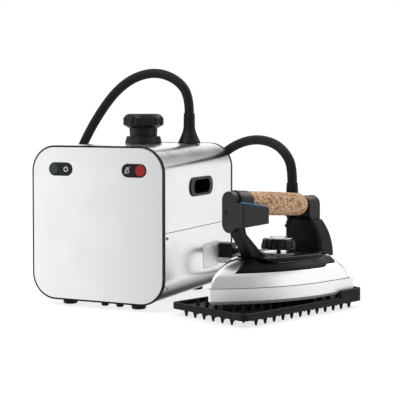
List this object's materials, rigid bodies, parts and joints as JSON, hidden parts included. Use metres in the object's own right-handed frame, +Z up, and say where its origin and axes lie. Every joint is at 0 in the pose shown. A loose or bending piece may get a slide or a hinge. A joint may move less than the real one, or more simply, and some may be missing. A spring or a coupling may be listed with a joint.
{
  "type": "steam generator iron",
  "caption": "Steam generator iron: steel boiler box with filler cap, hose and mains lead, and a hand iron with a cork grip on a studded silicone rest.",
  "frame": {"origin": "on the floor, below the middle of the boiler box and the iron on its rest together, hose and mains lead not counted", "axes": "+Z up, +Y from the boiler's front panel to its back, +X from the boiler towards the iron"},
  "size_m": [0.5293, 0.503, 0.3576],
  "materials": {
    "polished_steel": "mirror polished stainless steel",
    "inner_steel": "plain steel",
    "screws": "small bright screws",
    "black_trim": "black rubber",
    "black_plastic": "satin black moulded plastic",
    "control_bezels": "gloss black plastic",
    "green_button": "dark green translucent plastic",
    "red_lens": "red translucent plastic",
    "circuit_board": "fibreglass board",
    "brass": "turned brass",
    "hose_boots": "black rubber",
    "hose_sleeve": "black braided textile sleeve over a silicone hose",
    "mains_cable": "black rubber lead",
    "plug_pins": "bare brass",
    "silicone": "matte black silicone",
    "aluminium": "satin aluminium",
    "polished_cover": "polished aluminium",
    "iron_plastic": "charcoal heat-resistant plastic",
    "cork": "pressed cork",
    "blue_lever": "blue plastic",
    "dial_black": "gloss black plastic",
    "dial_silver": "silver coated disc"
  },
  "bodies": {
    "boiler": {"upper_casing": "polished_steel", "lower_casing": "polished_steel", "front_panel": "polished_steel", "rear_panel": "polished_steel", "inlet_bracket": "polished_steel", "boiler_tank": "inner_steel", "tank_cradles": "inner_steel", "filler_neck": "inner_steel", "heater": "inner_steel", "steam_pipes": "inner_steel", "casing_screws": "screws", "front_trim": "black_trim", "rear_trim": "black_trim", "base_feet": "black_trim", "drain_caps": "black_trim", "handle_cup_left": "black_plastic", "handle_cup_right": "black_plastic", "filler_collar": "black_plastic", "inlet_block": "black_plastic", "lead_strain_relief": "black_plastic", "mains_plug": "black_plastic", "power_switch": "black_plastic", "power_bezel": "control_bezels", "lamp_bezel": "control_bezels", "lamp_lens": "red_lens", "control_board": "circuit_board", "pressure_switch": "brass", "solenoid_valve": "brass", "hose_boot_boiler": "hose_boots", "steam_hose_front": "hose_sleeve", "steam_hose_coil": "hose_sleeve", "mains_lead": "mains_cable", "mains_lead_coil": "mains_cable", "mains_plug_pins": "plug_pins", "silicone_rest": "silicone"},
    "iron": {"soleplate": "aluminium", "iron_cover": "polished_cover", "heat_shield": "iron_plastic", "heating_element": "inner_steel", "thermostat": "brass", "handle_frame": "iron_plastic", "switch_housing": "iron_plastic", "housing_screws": "screws", "grip_cap_front": "iron_plastic", "trigger_switch": "black_plastic", "cork_grip": "cork", "grip_rod": "inner_steel", "grip_cap_rear": "iron_plastic", "rear_housing": "iron_plastic", "terminal_block": "black_plastic", "hose_boot_iron": "hose_boots", "dial_plate": "dial_silver", "steam_hose_rear": "hose_sleeve"},
    "steam_trigger": {"steam_trigger": "blue_lever"},
    "dial": {"dial_knob": "dial_black", "dial_disc": "dial_silver"},
    "cap": {"cap_plug": "black_plastic", "cap_seal": "black_trim"},
    "cap_knob": {"cap_knob": "black_plastic"},
    "power_button": {"power_button": "green_button"}
  },
  "joints": [
    {"name": "cap_lift", "type": "slide", "parent": "boiler", "child": "cap", "axis": [0, 0, 1], "range_m": [0, 0.016]},
    {"name": "cap_turn", "type": "hinge", "parent": "cap", "child": "cap_knob", "pos_m": [-0.11569, 0.04625, 0.2629], "axis": [0, 0, 1], "range_deg": [0, 1440]},
    {"name": "power_press", "type": "slide", "parent": "boiler", "child": "power_button", "axis": [0, 1, 0], "range_m": [0, 0.0025], "stiffness_N_per_m": 400},
    {"name": "iron_lift", "type": "slide", "parent": "boiler", "child": "iron", "axis": [0, 0, 1], "range_m": [0, 0.12]},
    {"name": "trigger_press", "type": "hinge", "parent": "iron", "child": "steam_trigger", "pos_m": [0.11084, -0.08796, 0.159], "axis": [-0.9285, 0.3714, 0], "range_deg": [0, 3], "stiffness_Nm_per_rad": 1.5},
    {"name": "dial_turn", "type": "hinge", "parent": "iron", "child": "dial", "pos_m": [0.12551, 0.01065, 0.0885], "axis": [0, 0, 1], "range_deg": [0, 270]}
  ],
  "couplings": [
    {"joint": "cap_turn", "follows": "cap_lift", "rad_per_m": 1570.8}
  ]
}
